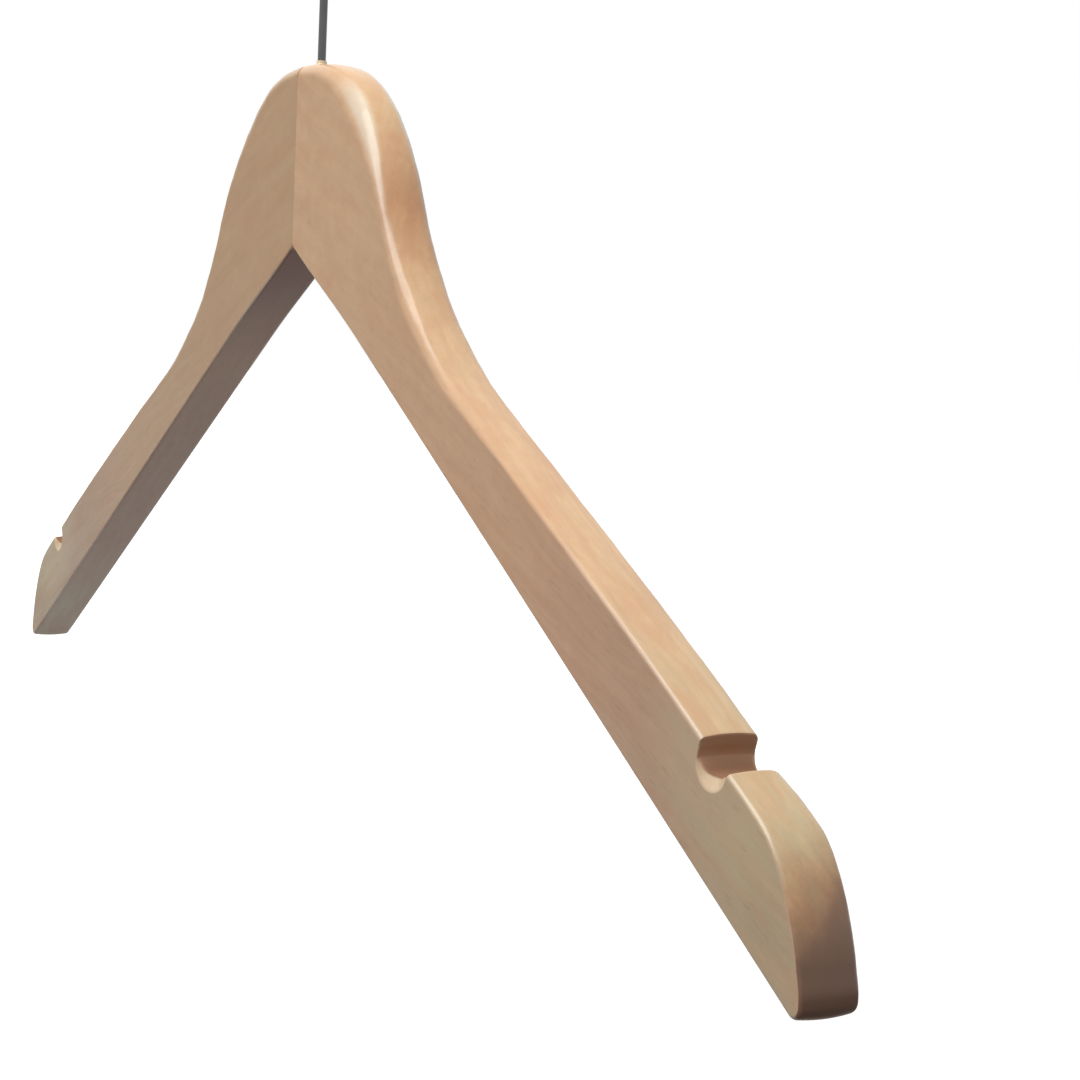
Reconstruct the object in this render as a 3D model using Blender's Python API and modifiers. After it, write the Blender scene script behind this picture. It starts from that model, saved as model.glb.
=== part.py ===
"""A wooden clothes hanger: two glued wooden halves hang and swivel under a bent wire hook.

Lengths are in metres and +Z is up. X runs along the hanger's width and the front faces -Y.
The origin is the inner crown of the hook, the spot that a rail carries.
"""

import math

import bmesh
import bpy
import numpy as np

# Wooden body, measured on its flat faces
half_width = 0.2216
wood_height = 0.1696
wood_thickness = 0.0120
edge_radius = 0.0010
crown_height = 0.0009
tip_corner_radius = 0.0024

# The outline of one half. Each station is its distance from the centre plane as a share of
# half_width, its drop as a share of wood_height, and its slope in those shares.
top_edge_shares = [(0.0, 0.0, 0.0), (0.0998, 0.0215, 0.553), (0.2267, 0.1993, 2.582), (0.4226, 0.4535, 0.704),
                   (0.8549, 0.7575, 0.766), (0.9401, 0.8211, 0.905), (0.9696, 0.8649, 2.212),
                   (0.9906, 0.9250, 4.3), (0.9966, 0.9560, 5.4), (0.9994, 0.9720, 60.0)]
crotch_shares = [(0.1797, 0.3795, 0.7564), (0.0, 0.2529, 0.748)]
tip_end_share = 0.06
round_handle_share = 2 / 3

# Strap notch near each arm's end, its middle as a share of half_width. Its sizes are those at the
# faces. The easing is how far its floor rises behind them, at most.
notch_place_share = 0.8746
notch_width = 0.0095
notch_depth = 0.0063
notch_tilt = math.radians(66)
notch_easing = 0.0023

# Glued joint: a tongue on the left half sits in a groove in the right half
glue_gap = 0.0003
tongue_thickness = 0.0050
tongue_reach = 0.0070
tongue_root = 0.0060
tongue_height = 0.0200

# Wire hook
wire_diameter = 0.0020
crook_inner_radius = 0.0210
shank_rise = 0.0200
shank_bend_radius = 0.0080
shank_bend_angle = math.radians(50)
crook_end_angle = math.radians(203)
thread_stick_out = 0.0008

# Bush that lines the top of the hook's hole
bush_wall = 0.0005
bush_length = 0.0080
bush_cap_radius = 0.0025
bush_cap_height = 0.0019
bush_lip_height = 0.0003

# Washer and nut that carry the wood on the hook's lower end, in a counterbore above the crotch
washer_diameter = 0.0055
washer_thickness = 0.0005
nut_across_flats = 0.0040
nut_height = 0.0016
counterbore_radius = 0.0036
counterbore_depth = 0.0070

clearance = 0.0003
cutter_overrun = 0.0050

# Counts of steps, which set how finely round shapes are drawn
outline_steps = 8
crown_steps = 4
edge_steps = 2
tip_corner_steps = 4
bore_steps = 24
wire_side_steps = 4
bend_steps = 6
crook_steps = 30
weld_distance = 0.00001
smooth_angle = math.radians(40)

# Places that follow from the sizes above
wire_radius = wire_diameter / 2
crook_radius = crook_inner_radius + wire_radius
crook_centre_z = -crook_inner_radius
bend_side = shank_bend_radius * (1 - math.cos(shank_bend_angle))
bend_rise = shank_bend_radius * math.sin(shank_bend_angle)
run_side = crook_radius * math.cos(shank_bend_angle) - bend_side
run_rise = run_side / math.tan(shank_bend_angle)
bend_start_z = crook_centre_z - crook_radius * math.sin(shank_bend_angle) - run_rise - bend_rise
head_top_z = bend_start_z - shank_rise
face_top_z = head_top_z - crown_height
crotch_z = face_top_z - wood_height * crotch_shares[-1][1]
counterbore_top_z = crotch_z + counterbore_depth
bush_bottom_z = head_top_z - bush_length
washer_z = counterbore_top_z - clearance - washer_thickness
nut_z = washer_z - clearance - nut_height
thread_end_z = nut_z - thread_stick_out
bush_bore_radius = wire_radius + clearance
bush_sleeve_radius = bush_bore_radius + bush_wall
shank_hole_radius = wire_radius + clearance
bush_hole_radius = bush_sleeve_radius + clearance
tongue_z = (bush_bottom_z + counterbore_top_z) / 2


def new_collection(name):
    collection = bpy.data.collections.new(name)
    bpy.context.scene.collection.children.link(collection)
    return collection


def add_object(name, mesh, collection, material=None, origin_z=0.0):
    """An object for a mesh whose points are given from the object's origin."""
    mesh.shade_smooth()
    mesh.set_sharp_from_angle(angle=smooth_angle)
    item = bpy.data.objects.new(name, mesh)
    item.location.z = origin_z
    if material:
        mesh.materials.append(material)
    collection.objects.link(item)
    return item


def finish_material(name, colour, roughness, metallic):
    material = bpy.data.materials.new(name)
    material.use_nodes = True
    shader = material.node_tree.nodes["Principled BSDF"]
    shader.inputs["Base Color"].default_value = (*colour, 1.0)
    shader.inputs["Roughness"].default_value = roughness
    shader.inputs["Metallic"].default_value = metallic
    return material


def unit(vector):
    return vector / np.linalg.norm(vector, axis=-1, keepdims=True)


def station(shares):
    """A station's place on the face and its direction of travel, away from the centre plane."""
    across, drop, slope = shares
    place = np.array([half_width * across, -wood_height * drop])
    return place, unit(np.array([half_width, -wood_height * slope]))


def smooth_run(stations, steps, way=1):
    """Cubic curves through the stations, with handles that turn a symmetric bend into an arc."""
    t = np.arange(steps)[:, None] / steps
    points = []
    for (start, leave), (end, arrive) in zip(stations[:-1], stations[1:]):
        turn = math.acos(np.clip(leave @ arrive, -1, 1))
        handle = way * round_handle_share * math.dist(start, end) / (1 + math.cos(turn / 2))
        a, b = start + leave * handle, end - arrive * handle
        points.append((1 - t) ** 3 * start + 3 * t * (1 - t) ** 2 * a
                      + 3 * t * t * (1 - t) * b + t ** 3 * end)
    return np.vstack(points + [stations[-1][0]])


def top_edge():
    """The upper outline on the face, from the centre plane to the arm's end."""
    return smooth_run([station(shares) for shares in top_edge_shares], outline_steps)


def rounded_corner(before, corner, after, radius, steps):
    """An arc of the given radius in place of a corner."""
    u, v = unit(before - corner), unit(after - corner)
    half = math.acos(u @ v) / 2
    centre = corner + unit(u + v) * radius / math.sin(half)
    start, end = (corner + w * radius / math.tan(half) - centre for w in (u, v))
    turn = math.pi - 2 * half
    t = np.linspace(0, 1, steps + 1)[:, None]
    return centre + (np.sin((1 - t) * turn) * start + np.sin(t * turn) * end) / math.sin(turn)


def half_outline():
    """The right half's outline on the face, clockwise, and each point's bulge at mid thickness."""
    edge = top_edge()
    tip, bend = np.array([half_width, -wood_height]), station(crotch_shares[0])[0]
    corner = rounded_corner(edge[-1], tip, bend, tip_corner_radius, tip_corner_steps)
    flat_end = tip + (bend - tip) * tip_end_share
    crotch = smooth_run([station(shares) for shares in crotch_shares], outline_steps // 2, way=-1)
    outline = np.vstack([edge, corner, [flat_end], crotch])
    travel = np.gradient(outline, axis=0)
    bulge = crown_height * unit(np.column_stack([-travel[:, 1], travel[:, 0]]))
    bulge[0] = 0, crown_height
    bulge[len(edge) + len(corner):] = 0
    outline[[0, -1], 0] = glue_gap / 2
    return outline, bulge


def wooden_half(name, side, material, collection):
    """One half: its outline carried through the thickness, with a crowned top edge.

    side is 1 for the right half and -1 for its mirror image. The Bevel rounds the faces' edges,
    but not where the halves meet.
    """
    outline, bulge = half_outline()
    outline[:, 1] -= crown_height
    bm = bmesh.new()
    weight = bm.edges.layers.float.new("bevel_weight_edge")
    rings = []
    for place in np.linspace(-1, 1, crown_steps + 1):
        ring = outline + bulge * (1 - place ** 2)
        rings.append([bm.verts.new((side * x, place * wood_thickness / 2, z)) for x, z in ring])
    count = len(outline)
    for near, far in zip(rings[:-1], rings[1:]):
        for i in range(count):
            j = (i + 1) % count
            bm.faces.new((near[i], near[j], far[j], far[i]))
    bm.faces.new(rings[0])
    bm.faces.new(rings[-1])
    for ring in (rings[0], rings[-1]):
        for start, end in zip(ring[:-1], ring[1:]):
            bm.edges.get((start, end))[weight] = 1.0
    bmesh.ops.recalc_face_normals(bm, faces=bm.faces)
    mesh = bpy.data.meshes.new(name)
    bm.to_mesh(mesh)
    bm.free()
    half = add_object(name, mesh, collection, material, head_top_z)
    bevel = half.modifiers.new("edge_rounding", "BEVEL")
    bevel.limit_method = "WEIGHT"
    bevel.width = edge_radius
    bevel.segments = edge_steps
    return half


def box(name, low, high, collection):
    """A box between two corners, in world places."""
    low, high = np.array(low), np.array(high)
    bm = bmesh.new()
    bmesh.ops.create_cube(bm, size=1.0)
    bmesh.ops.scale(bm, vec=high - low, verts=bm.verts)
    bmesh.ops.translate(bm, vec=(low + high) / 2, verts=bm.verts)
    mesh = bpy.data.meshes.new(name)
    bm.to_mesh(mesh)
    bm.free()
    return add_object(name, mesh, collection)


def turned(name, profile, steps, collection, material=None):
    """A profile of (radius, z) points, down its outer side first, turned about Z.

    A profile that starts on the axis also ends there. Any other one is closed on itself.
    """
    mesh = bpy.data.meshes.new(name)
    count = len(profile)
    edges = [(i, (i + 1) % count) for i in range(count if profile[0][0] else count - 1)]
    mesh.from_pydata([(r, 0, z) for r, z in profile], edges, [])
    item = add_object(name, mesh, collection, material)
    screw = item.modifiers.new("turning", "SCREW")
    screw.steps = screw.render_steps = steps
    screw.use_merge_vertices = True
    screw.merge_threshold = weld_distance
    return item


def cutter_look(item):
    item.hide_render = True
    item.display_type = "WIRE"
    return item


def boolean(item, tool, operation):
    modifier = item.modifiers.new(tool.name, "BOOLEAN")
    modifier.operation = operation
    modifier.object = tool


def hook_bore(cutters):
    """The stepped hole down the centre line: bush seat, shank hole and counterbore."""
    levels = [(bush_hole_radius, head_top_z + cutter_overrun), (bush_hole_radius, bush_bottom_z - clearance),
              (shank_hole_radius, bush_bottom_z - clearance), (shank_hole_radius, counterbore_top_z),
              (counterbore_radius, counterbore_top_z), (counterbore_radius, crotch_z - cutter_overrun)]
    profile = [(0, levels[0][1])] + levels + [(0, levels[-1][1])]
    return cutter_look(turned("hook_bore_cutter", profile, bore_steps, cutters))


def notch_cutter(name, side, cutters):
    """A slot with straight walls and a half-round floor, lofted through the arm's thickness.

    From mid thickness to each face it widens, most where its floor faces up and nowhere that it
    faces down.
    """
    edge = top_edge()
    x = half_width * notch_place_share
    mouth = np.array([x, np.interp(x, edge[:, 0], edge[:, 1])])
    out = np.array([math.cos(notch_tilt), math.sin(notch_tilt)])
    along = np.array([out[1], -out[0]])
    radius = notch_width / 2
    floor_centre = mouth - out * (notch_depth - radius)
    turn = np.linspace(0, math.pi, bore_steps // 2 + 1)[:, None]
    inward = np.cos(turn) * along + np.sin(turn) * out
    outer = floor_centre - radius * inward
    inner = outer + notch_easing * np.maximum(inward[:, 1:], 0) * inward
    reach = out * (notch_depth + cutter_overrun)
    face = wood_thickness / 2
    sections = [(face + cutter_overrun, outer), (face, outer), (face - notch_easing, inner)]
    bm = bmesh.new()
    rings = []
    for way, order in ((-1, sections), (1, sections[::-1])):
        for y, floor in order:
            slot = np.vstack([floor[0] + reach, floor, floor[-1] + reach])
            rings.append([bm.verts.new((side * x, way * y, z)) for x, z in slot])
    count = len(rings[0])
    for near, far in zip(rings[:-1], rings[1:]):
        for i in range(count):
            j = (i + 1) % count
            bm.faces.new((near[i], near[j], far[j], far[i]))
    bm.faces.new(rings[0])
    bm.faces.new(rings[-1])
    bmesh.ops.triangulate(bm, faces=bm.faces)
    bmesh.ops.recalc_face_normals(bm, faces=bm.faces)
    mesh = bpy.data.meshes.new(name)
    bm.to_mesh(mesh)
    bm.free()
    return cutter_look(add_object(name, mesh, cutters, origin_z=face_top_z))


def hook_path():
    """The wire's centre line: threaded end, shank, bend, straight run and round crook."""
    turn = np.linspace(0, shank_bend_angle, bend_steps)
    bend = np.column_stack([shank_bend_radius * (1 - np.cos(turn)),
                            bend_start_z + shank_bend_radius * np.sin(turn)])
    turn = np.linspace(-shank_bend_angle, crook_end_angle, crook_steps)
    crook = np.column_stack([crook_radius * np.cos(turn), crook_centre_z + crook_radius * np.sin(turn)])
    return np.vstack([[0, thread_end_z], bend, crook])


def wire_hook(material, collection):
    curve = bpy.data.curves.new("hook", "CURVE")
    curve.dimensions = "3D"
    curve.bevel_depth = wire_radius
    curve.bevel_resolution = wire_side_steps
    curve.use_fill_caps = True
    path = hook_path()
    spline = curve.splines.new("POLY")
    spline.points.add(len(path) - 1)
    for point, (x, z) in zip(spline.points, path):
        point.co = (x, 0, z, 1)
    curve.materials.append(material)
    hook = bpy.data.objects.new("hook", curve)
    collection.objects.link(hook)
    return hook


def hook_bush(material, collection):
    """A sleeve in the wood with a low conical cap on top of it."""
    foot = head_top_z + clearance
    profile = [(bush_bore_radius, foot + bush_cap_height),
               (bush_bore_radius + clearance, foot + bush_cap_height),
               (bush_cap_radius, foot + bush_lip_height), (bush_cap_radius, foot),
               (bush_sleeve_radius, foot), (bush_sleeve_radius, bush_bottom_z),
               (bush_bore_radius, bush_bottom_z)]
    return turned("hook_bush", profile, bore_steps, collection, material)


def hook_washer(material, collection):
    inner, outer, top = shank_hole_radius, washer_diameter / 2, washer_z + washer_thickness
    profile = [(inner, top), (outer, top), (outer, washer_z), (inner, washer_z)]
    return turned("hook_washer", profile, bore_steps, collection, material)


def hook_nut(material, collection, cutters):
    """A hexagonal prism with a round bore."""
    bm = bmesh.new()
    corner_radius = nut_across_flats / 2 / math.cos(math.pi / 6)
    bmesh.ops.create_cone(bm, cap_ends=True, segments=6, radius1=corner_radius, radius2=corner_radius,
                          depth=nut_height)
    mesh = bpy.data.meshes.new("hook_nut")
    bm.to_mesh(mesh)
    bm.free()
    nut = add_object("hook_nut", mesh, collection, material, nut_z + nut_height / 2)
    low, high = nut_z - cutter_overrun, nut_z + nut_height + cutter_overrun
    profile = [(0, high), (shank_hole_radius, high), (shank_hole_radius, low), (0, low)]
    boolean(nut, cutter_look(turned("nut_bore_cutter", profile, bore_steps, cutters)), "DIFFERENCE")


def build():
    for item in list(bpy.data.objects):
        bpy.data.objects.remove(item)
    parts = new_collection("wooden_hanger")
    cutters = new_collection("cutters")
    wood_left = finish_material("lacquered_wood_left", (0.47, 0.31, 0.20), 0.38, 0.0)
    wood_right = finish_material("lacquered_wood_right", (0.53, 0.37, 0.24), 0.38, 0.0)
    wire = finish_material("dark_wire", (0.13, 0.135, 0.14), 0.30, 1.0)
    zinc = finish_material("zinc_plating", (0.60, 0.60, 0.58), 0.35, 1.0)
    bush_plastic = finish_material("wood_coloured_plastic", (0.68, 0.50, 0.32), 0.45, 0.0)

    swivel = bpy.data.objects.new("swivel", None)
    swivel.location.z = head_top_z
    parts.objects.link(swivel)
    left = wooden_half("left_arm", -1, wood_left, parts)
    right = wooden_half("right_arm", 1, wood_right, parts)
    bush = hook_bush(bush_plastic, parts)
    bpy.context.view_layer.update()
    for item in (left, right, bush):
        item.parent = swivel
        item.matrix_parent_inverse = swivel.matrix_world.inverted()

    wire_hook(wire, parts)
    hook_washer(zinc, parts)
    hook_nut(zinc, parts, cutters)

    side, low, high = tongue_thickness / 2, tongue_z - tongue_height / 2, tongue_z + tongue_height / 2
    tongue = cutter_look(box("tongue_shape", (-tongue_root, -side, low), (tongue_reach, side, high), cutters))
    groove = cutter_look(box("groove_cutter", (-cutter_overrun, -side - glue_gap, low - glue_gap),
                             (tongue_reach + glue_gap, side + glue_gap, high + glue_gap), cutters))
    bore = hook_bore(cutters)
    boolean(left, tongue, "UNION")
    boolean(right, groove, "DIFFERENCE")
    for half, way, name in ((left, -1, "left_notch_cutter"), (right, 1, "right_notch_cutter")):
        boolean(half, bore, "DIFFERENCE")
        boolean(half, notch_cutter(name, way, cutters), "DIFFERENCE")


build()
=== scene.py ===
"""The looks of a wooden clothes hanger: two lacquered halves, a dark wire hook and its fittings.

Lengths are in metres, in the solids' own frame: X along the width, -Y to the front and +Z up.
The origin is the inner crown of the hook. Outlines are worked out on the right half's flat face,
as (x, z) with z from the flat top of the head, and the left half mirrors them.
"""

import math

import bmesh
import bpy
import numpy as np
from mathutils import Matrix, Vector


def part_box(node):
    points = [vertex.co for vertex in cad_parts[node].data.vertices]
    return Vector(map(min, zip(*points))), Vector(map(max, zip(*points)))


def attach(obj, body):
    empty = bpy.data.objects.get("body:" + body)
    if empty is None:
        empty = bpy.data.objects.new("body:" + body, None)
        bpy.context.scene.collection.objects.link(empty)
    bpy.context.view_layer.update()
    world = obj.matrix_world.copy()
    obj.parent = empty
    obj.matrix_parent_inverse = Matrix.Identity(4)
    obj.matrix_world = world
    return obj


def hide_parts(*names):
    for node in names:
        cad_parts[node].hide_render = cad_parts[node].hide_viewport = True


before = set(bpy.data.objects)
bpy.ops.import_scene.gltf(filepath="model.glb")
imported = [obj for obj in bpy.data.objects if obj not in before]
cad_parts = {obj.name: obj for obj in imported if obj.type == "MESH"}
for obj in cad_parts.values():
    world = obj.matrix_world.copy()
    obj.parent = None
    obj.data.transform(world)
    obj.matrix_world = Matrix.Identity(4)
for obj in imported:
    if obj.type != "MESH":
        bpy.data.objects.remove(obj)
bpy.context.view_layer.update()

# Sizes read from the solids
arm_low, arm_high = (np.array(corner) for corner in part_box("right_arm"))
hook_low, hook_high = (np.array(corner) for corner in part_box("hook"))
bush_low, bush_high = (np.array(corner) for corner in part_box("hook_bush"))
washer_low, washer_high = (np.array(corner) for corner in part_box("hook_washer"))
nut_low, nut_high = (np.array(corner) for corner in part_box("hook_nut"))
thickness = arm_high[1] - arm_low[1]
head_top = arm_high[2]

# The wooden halves, on their flat faces. A station of an outline is its x as a share of
# half_width, its drop as a share of wood_height, and the slope of the one share over the other.
half_width = 0.2216
wood_height = 0.1696
crown_height = 0.0009
flat_top = head_top - crown_height
top_stations = [
    (0.0, 0.0, 0.0), (0.0998, 0.0215, 0.553), (0.2267, 0.1993, 2.582), (0.4226, 0.4535, 0.704),
    (0.8549, 0.7575, 0.766), (0.9401, 0.8211, 0.905), (0.9696, 0.8649, 2.212),
    (0.9906, 0.9250, 4.3), (0.9966, 0.9560, 5.4), (0.9994, 0.9720, 60.0)]
crotch_stations = [(0.1797, 0.3795, 0.7564), (0.0, 0.2529, 0.748)]
round_handle_share = 2 / 3
tip_corner_radius = 0.0021
seam_gap = 0.00002
outline_softening = 0.0012
grain_slope = math.radians(22)

# Strap notch: a slot with a round end, leaning out of the arm
notch_place_share = 0.8746
notch_radius = 0.0095 / 2
notch_depth = 0.0063
notch_tilt = math.radians(66)
notch_out = np.array([math.cos(notch_tilt), math.sin(notch_tilt)])
notch_over = np.array([notch_out[1], -notch_out[0]])
notch_bevel = 0.0023
bevel_depth_share = 0.62
notch_edge_radius = 0.0002
lip_reach = 0.0020
lip_clear = 0.0015
lip_rows = [0.00055, 0.00025]
lip_pull = 0.00006

# Rounding of the top edge, by distance from the centre plane: the front corner's radius, what the
# back corner's adds to it, and the bulge between the two
edge_rounding = [
    (0.0000, 0.00190, 0.0003, 0.00090),
    (0.0220, 0.00310, -0.0004, 0.00090),
    (0.0340, 0.00470, -0.0019, 0.00090),
    (0.0420, 0.00300, -0.0009, 0.00080),
    (0.0510, 0.00140, 0.0007, 0.00080),
    (0.0640, 0.00270, -0.0005, 0.00070),
    (0.0900, 0.00180, -0.0003, 0.00070),
    (0.1120, 0.00070, 0.0004, 0.00060),
    (0.1600, 0.00080, 0.0005, 0.00060),
    (0.1900, 0.00075, 0.0005, 0.00055),
    (0.1970, 0.00075, 0.0030, 0.00055),
    (0.2030, 0.00075, 0.0017, 0.00055),
    (0.2100, 0.00070, 0.0008, 0.00055),
    (0.2216, 0.00070, 0.0005, 0.00055)]
rounding_places, front_radii, back_extras, crowns = np.array(edge_rounding).T
under_radius, under_back_extra = 0.0007, 0.0003
tip_blend = 0.012
face_margin = 0.00025

# What hand sanding does to that rounding, as waves along the edge: length, share and phase
hand_sanding = [(0.0230, 0.06, 1.0), (0.0093, 0.03, 4.0), (0.0041, 0.015, 2.5)]

# How many steps, or lines across the thickness, each stretch of a half has
curve_steps, tip_corner_steps, under_steps, crotch_steps = 60, 12, 90, 24
arm_lines, tip_lines, notch_lines, lip_room = 240, 90, 72, 3
corner_steps, crown_steps = 7, 14

# Bore for the hook
clearance = 0.0003
bush_hole_radius = bush_high[0] - 0.00098
shank_hole_radius = 0.0013
counterbore_radius = 0.0036
past_wood_above, past_wood_below = 0.005, 0.02

# The bush's collar, as (width beyond its bore, height over the head), and its flange and sleeve
collar = [(0.0, 0.00125), (0.00018, 0.00125), (0.00030, 0.00055), (0.00062, 0.00012)]
flange_radius, sleeve_radius = bush_high[0] - 0.0008, bush_high[0] - 0.0010
flange_rise, flange_sink = 0.00002, 0.0004
bush_softness, washer_softness = 0.00006, 0.00009

# The wire hook
wire_radius = (hook_high[1] - hook_low[1]) / 2
bush_fit, washer_fit, nut_fit = 0.00004, 0.0001, 0.00003
bend_start = np.array([0, head_top + 0.020])
bend_radius, bend_angle = 0.008, math.radians(50)
crook_centre = np.array([0, -0.021])
crook_radius, crook_end = 0.022, math.radians(203)
thread_pitch, thread_depth, thread_length = 0.0004, 0.00018, 0.0036
threaded_end_share, cap_flat_share = 0.7, 0.02

# Above these angles between faces, an edge stays sharp
wood_crease, fitting_crease = math.radians(36), math.radians(40)

# Colours of the wood under its lacquer, with painted shades and highlights among them
cool_wood = (0.58, 0.43, 0.26, 1)
pale_patch = (0.76, 0.54, 0.29, 1)
pore_dark = (0.30, 0.16, 0.09, 1)
# soaked end grain, darkened further by painted shade towards the back and on the tip
soaked_and_shaded_wood = (0.235, 0.102, 0.060, 1)
# painted sheen on the head's rounded edge
painted_head_sheen = (0.72, 0.66, 0.54, 1)
# painted highlight line on the outer arm's front rounded edge
painted_edge_highlight = (0.86, 0.63, 0.43, 1)
# painted shade on the tip's end under its curve
tip_end_shade = (0.16, 0.09, 0.065, 1)
# painted highlight on the notch's bevels
bevel_highlight = (0.80, 0.60, 0.40, 1)
slot_wall = (0.70, 0.425, 0.275, 1)
# the slot's floor, painted darker where it faces up: painted shade that cancels its light
slot_floor_shade = (0.26, 0.138, 0.083, 1)

# Tints that multiply it, some of them painted light and shade
end_grain_tint = (0.92, 0.70, 0.60, 1)
# head and tip tints: painted light falloff, lighter at the head and darker towards the tip
head_lit_tint = (1.08, 1.05, 0.98, 1)
tip_shade_tint = (0.86, 0.92, 0.92, 1)
edge_tint = (0.96, 1.07, 1.07, 1)
face_tint = (0.925, 1.00, 1.12, 1)
heart_tint = (0.935, 0.915, 0.97, 1)
# painted shade on the undersides into the crotch
crotch_shade_tint = (0.43, 0.20, 0.16, 1)

# Where the pith and the pale patch lie: along the grain, across it in the face, and in depth
pith_across, pith_depth = -0.105, 0.050
patch_along, patch_across, patch_squeeze = 0.262, -0.1225, 0.6
growth_ring = 0.0026


def unit(vector):
    """The direction of each vector: vector / its length."""
    return vector / np.linalg.norm(vector, axis=-1, keepdims=True)


def left_of(run):
    """Each direction turned a quarter to its left: (x, z) becomes (-z, x)."""
    return np.column_stack([-run[:, 1], run[:, 0]])


def climb(values, low, high):
    """0 below low and 1 above high, with a smooth climb between: s x s x (3 - 2 s)."""
    share = np.clip((values - low) / (high - low), 0, 1)
    return share * share * (3 - 2 * share)


def station(shares):
    """A place on the face, and the way the outline runs there."""
    across, drop, slope = shares
    place = np.array([half_width * across, -wood_height * drop])
    return place, unit(np.array([half_width, -wood_height * slope]))


def smooth_run(all_shares, steps, way=1):
    """Cubic curves through the stations. Their handles turn a symmetric bend into an arc."""
    stations = [station(shares) for shares in all_shares]
    t = np.arange(steps)[:, None] / steps
    points = []
    for (start, leave), (end, arrive) in zip(stations[:-1], stations[1:]):
        turn = math.acos(np.clip(leave @ arrive, -1, 1))
        handle = way * round_handle_share * math.dist(start, end) / (1 + math.cos(turn / 2))
        a, b = start + leave * handle, end - arrive * handle
        points.append((1 - t) ** 3 * start + 3 * t * (1 - t) ** 2 * a
                      + 3 * t * t * (1 - t) * b + t ** 3 * end)
    return np.vstack(points + [stations[-1][0]])


def rounded_corner(before, corner, after, radius, steps):
    """An arc of the given radius in place of a corner.

    Its radii are (sin((1 - t) turn) x first + sin(t turn) x last) / sin(turn) round the centre.
    """
    u, v = unit(before - corner), unit(after - corner)
    half = math.acos(u @ v) / 2
    centre = corner + unit(u + v) * radius / math.sin(half)
    start, end = (corner + w * radius / math.tan(half) - centre for w in (u, v))
    turn = math.pi - 2 * half
    t = np.linspace(0, 1, steps + 1)[:, None]
    return centre + (np.sin((1 - t) * turn) * start + np.sin(t * turn) * end) / math.sin(turn)


def lengths_along(curve):
    """How far along the curve each of its points lies."""
    return np.r_[0, np.cumsum(np.linalg.norm(np.diff(curve, axis=0), axis=1))]


def walk(curve, distances):
    """Points of a fine polyline at distances along it."""
    length = lengths_along(curve)
    return np.column_stack([np.interp(distances, length, curve[:, i]) for i in range(2)])


def walk_with_normals(curve, distances, nudge=0.0001):
    """Points at distances along a curve, and the normals to the left of its run there."""
    length = lengths_along(curve)[-1]
    ahead, behind = (walk(curve, np.clip(distances + step, 0, length)) for step in (nudge, -nudge))
    return walk(curve, distances), left_of(unit(ahead - behind))


def softened(curve, spread, step=0.0002):
    """The curve with no jumps in its bend: its direction of travel, blurred by a bell curve of the
    given spread and summed up again."""
    count = int(lengths_along(curve)[-1] / step)
    fine = walk(curve, np.linspace(0, lengths_along(curve)[-1], count + 1))
    travel = np.diff(fine, axis=0)
    angle = np.unwrap(np.arctan2(travel[:, 1], travel[:, 0]))
    reach = int(3 * spread / step)
    padded = np.r_[2 * angle[0] - angle[reach:0:-1], angle, 2 * angle[-1] - angle[-2:-reach - 2:-1]]
    bell = np.exp(-0.5 * (np.arange(-reach, reach + 1) * step / spread) ** 2)
    angle = np.convolve(padded, bell / bell.sum(), "valid")
    length = np.linalg.norm(travel, axis=1)
    moves = np.column_stack([length * np.cos(angle), length * np.sin(angle)])
    points = fine[0] + np.vstack([[0, 0], np.cumsum(moves, axis=0)])
    return points + (fine[-1] - points[-1]) * np.linspace(0, 1, count + 1)[:, None]


def across_thickness(front, back, crown, depth_share=1.0, bevelled=False):
    """Lines across the thickness, from the front face's flat, over the edge, to the back face's.

    At each face a corner turns into the edge: a quarter circle of the given radius, or a straight
    bevel, whose depth into the thickness is depth_share of its width. Between them the edge bulges
    by crown x (1 - (y / half thickness) squared). Gives each line's y and its height over the outline.
    """
    half = thickness / 2
    turn = np.linspace(0, math.pi / 2, corner_steps)
    straight = turn / turn[-1]
    inward, drop = (straight, 1 - straight) if bevelled else (1 - np.cos(turn), 1 - np.sin(turn))
    front, back = front[:, None], back[:, None]
    front_y = -half + front * depth_share * inward
    back_y = half - back * depth_share * inward
    between = np.linspace(0, 1, crown_steps + 2)[1:-1]
    middle = front_y[:, -1:] + (back_y[:, -1:] - front_y[:, -1:]) * between
    ends = np.full_like(front, half)
    y = np.hstack([-ends, front_y, middle, back_y[:, ::-1], ends])
    h = np.hstack([-(front + face_margin), -front * drop, np.zeros_like(middle),
                   -back * drop[::-1], -(back + face_margin)])
    return y, h + crown[:, None] * (1 - (y / half) ** 2)


def standing(base, normals, front, back, crown):
    """Lines across the thickness on an outline: point = base + normal x height, at its y. Also
    gives the heights."""
    y, h = across_thickness(front, back, crown)
    flat = base[:, None, :] + normals[:, None, :] * h[..., None]
    return np.stack([flat[..., 0], y, flat[..., 1]], axis=-1), h


def top_edge(top, distances, set_normals):
    """The top edge's lines at distances along its outline, whose rounding wanders as hand sanding
    leaves it. Some lines have a normal that is set. Also gives the outline's points and the heights."""
    base, normals = walk_with_normals(top, distances)
    for line, normal in set_normals.items():
        normals[line] = normal
    wander = 1 + sum(share * np.sin(2 * math.pi * distances / wave + phase)
                     for wave, share, phase in hand_sanding)
    front, extra, crown = (np.interp(base[:, 0], rounding_places, values)
                           for values in (front_radii, back_extras, crowns))
    lines, heights_over = standing(base, normals, front * wander, (front + extra) * wander, crown)
    return base, lines, heights_over


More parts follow.
